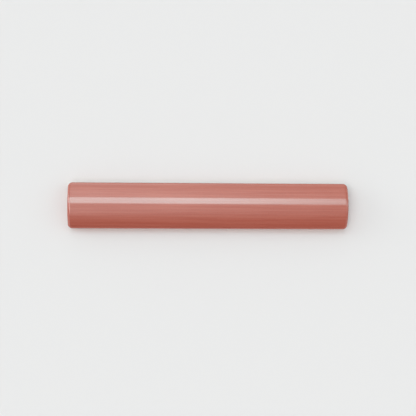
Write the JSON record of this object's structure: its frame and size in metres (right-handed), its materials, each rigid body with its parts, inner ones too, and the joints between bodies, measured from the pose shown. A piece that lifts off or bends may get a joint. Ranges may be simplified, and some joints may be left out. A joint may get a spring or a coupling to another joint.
{
  "type": "ceramic moulding tile",
  "caption": "Straight glazed ceramic bar moulding with a shallow domed face, rounded arrises and a grooved flat back, bedded on a wall as a trim between tiles.",
  "frame": {"origin": "centre of the flat back, which lies on the floor", "axes": "+X along the bar, +Y across it towards the edge that is upper in the picture, +Z out of the domed face"},
  "size_m": [0.152, 0.025, 0.012],
  "materials": {
    "glaze": "gloss"
  },
  "bodies": {
    "root": {"moulding_tile": "glaze"}
  },
  "joints": []
}
